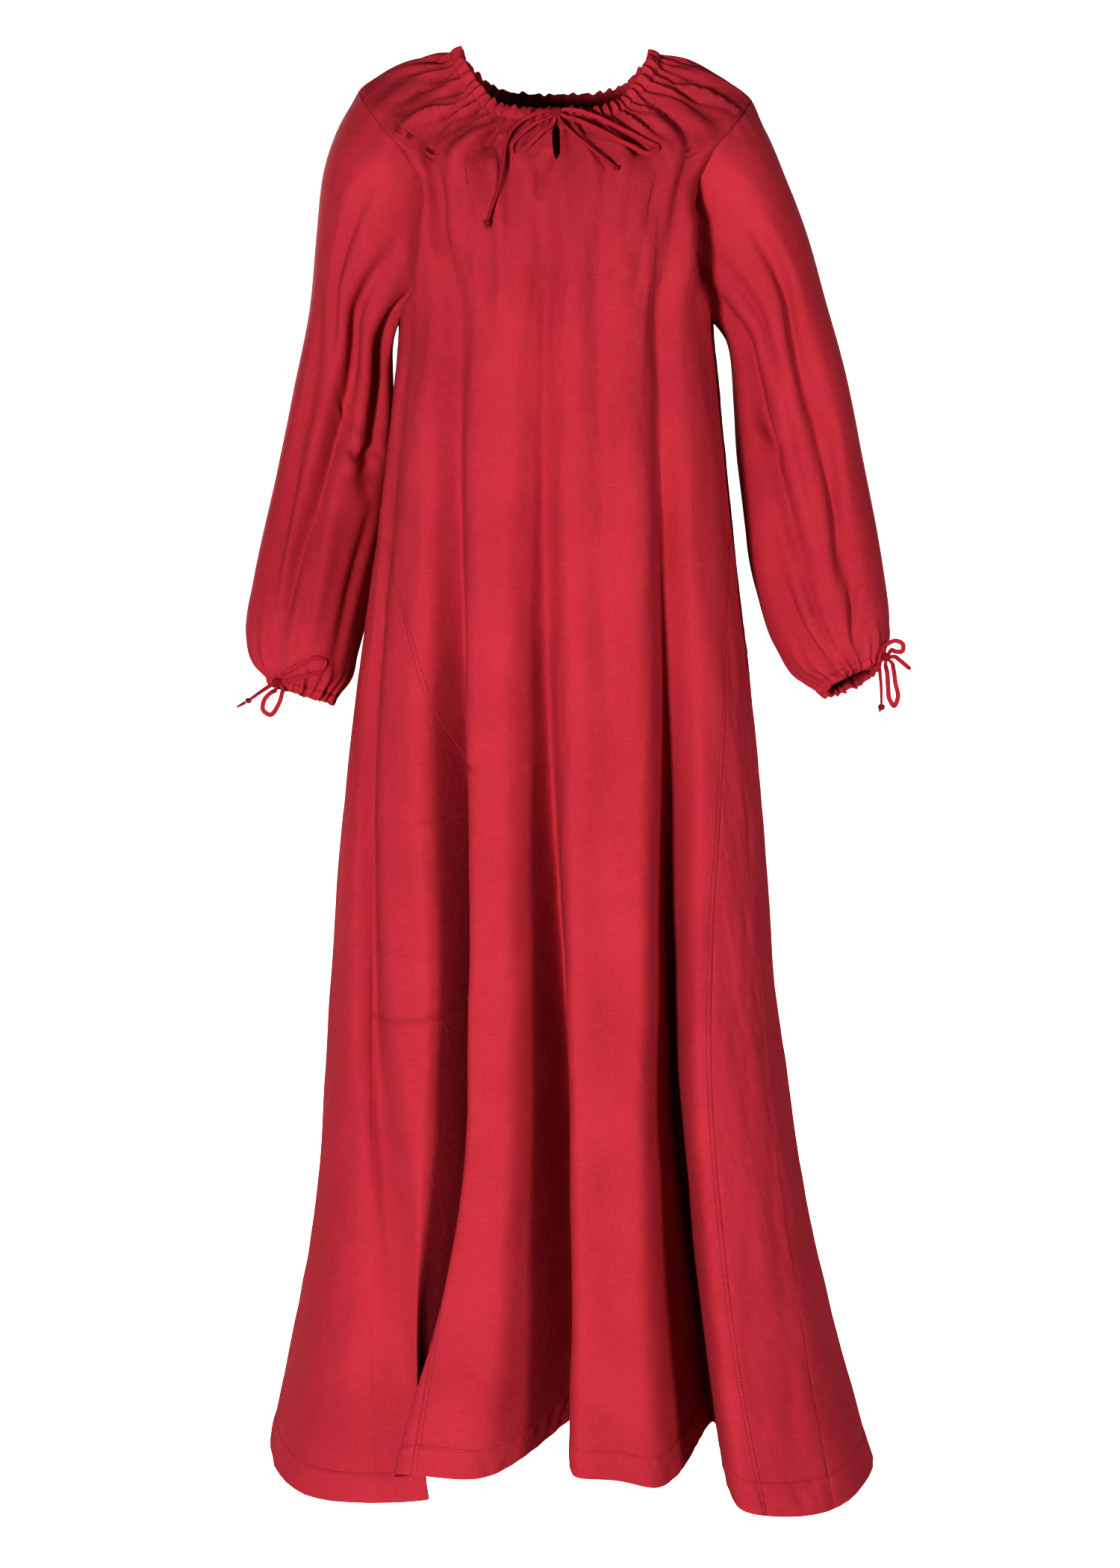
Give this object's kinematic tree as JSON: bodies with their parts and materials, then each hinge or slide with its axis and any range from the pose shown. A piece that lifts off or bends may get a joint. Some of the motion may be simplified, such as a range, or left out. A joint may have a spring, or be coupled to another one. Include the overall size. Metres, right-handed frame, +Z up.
{
  "type": "underdress",
  "caption": "Long-sleeved cotton underdress with a drawn neck and cuffs tied in bows, a front slit and flared side gores, filled out as when worn.",
  "frame": {"origin": "midway between the tops of the shoulders beside the neck, where the wearer holds the dress up", "axes": "+Z up, -Y the dress's front, +X the right of the picture, which is the wearer's left side"},
  "size_m": [0.6629, 0.4921, 1.4218],
  "materials": {
    "cloth": "plain-woven crimson cotton, matt with a slight sheen",
    "drawstring": "flat tape of the same crimson cotton, matt"
  },
  "bodies": {
    "root": {"front_panel": "cloth", "back_panel": "cloth", "front_gore_left": "cloth", "front_gore_right": "cloth", "back_gore_left": "cloth", "back_gore_right": "cloth", "sleeve_left": "cloth", "sleeve_right": "cloth", "neck_casing": "cloth", "cuff_casing_left": "cloth", "cuff_casing_right": "cloth", "neck_bow_knot": "drawstring", "neck_bow_loop_left": "drawstring", "neck_bow_loop_right": "drawstring", "neck_string_end_left": "drawstring", "neck_string_end_right": "drawstring", "neck_string_knot_left": "drawstring", "neck_string_knot_right": "drawstring", "cuff_bow_knot_left": "drawstring", "cuff_bow_loop_upper_left": "drawstring", "cuff_bow_loop_lower_left": "drawstring", "cuff_string_end_left": "drawstring", "cuff_string_knot_left": "drawstring", "cuff_bow_knot_right": "drawstring", "cuff_bow_loop_upper_right": "drawstring", "cuff_bow_loop_lower_right": "drawstring", "cuff_string_end_upper_right": "drawstring", "cuff_string_end_lower_right": "drawstring", "cuff_string_knot_right": "drawstring"}
  },
  "joints": []
}
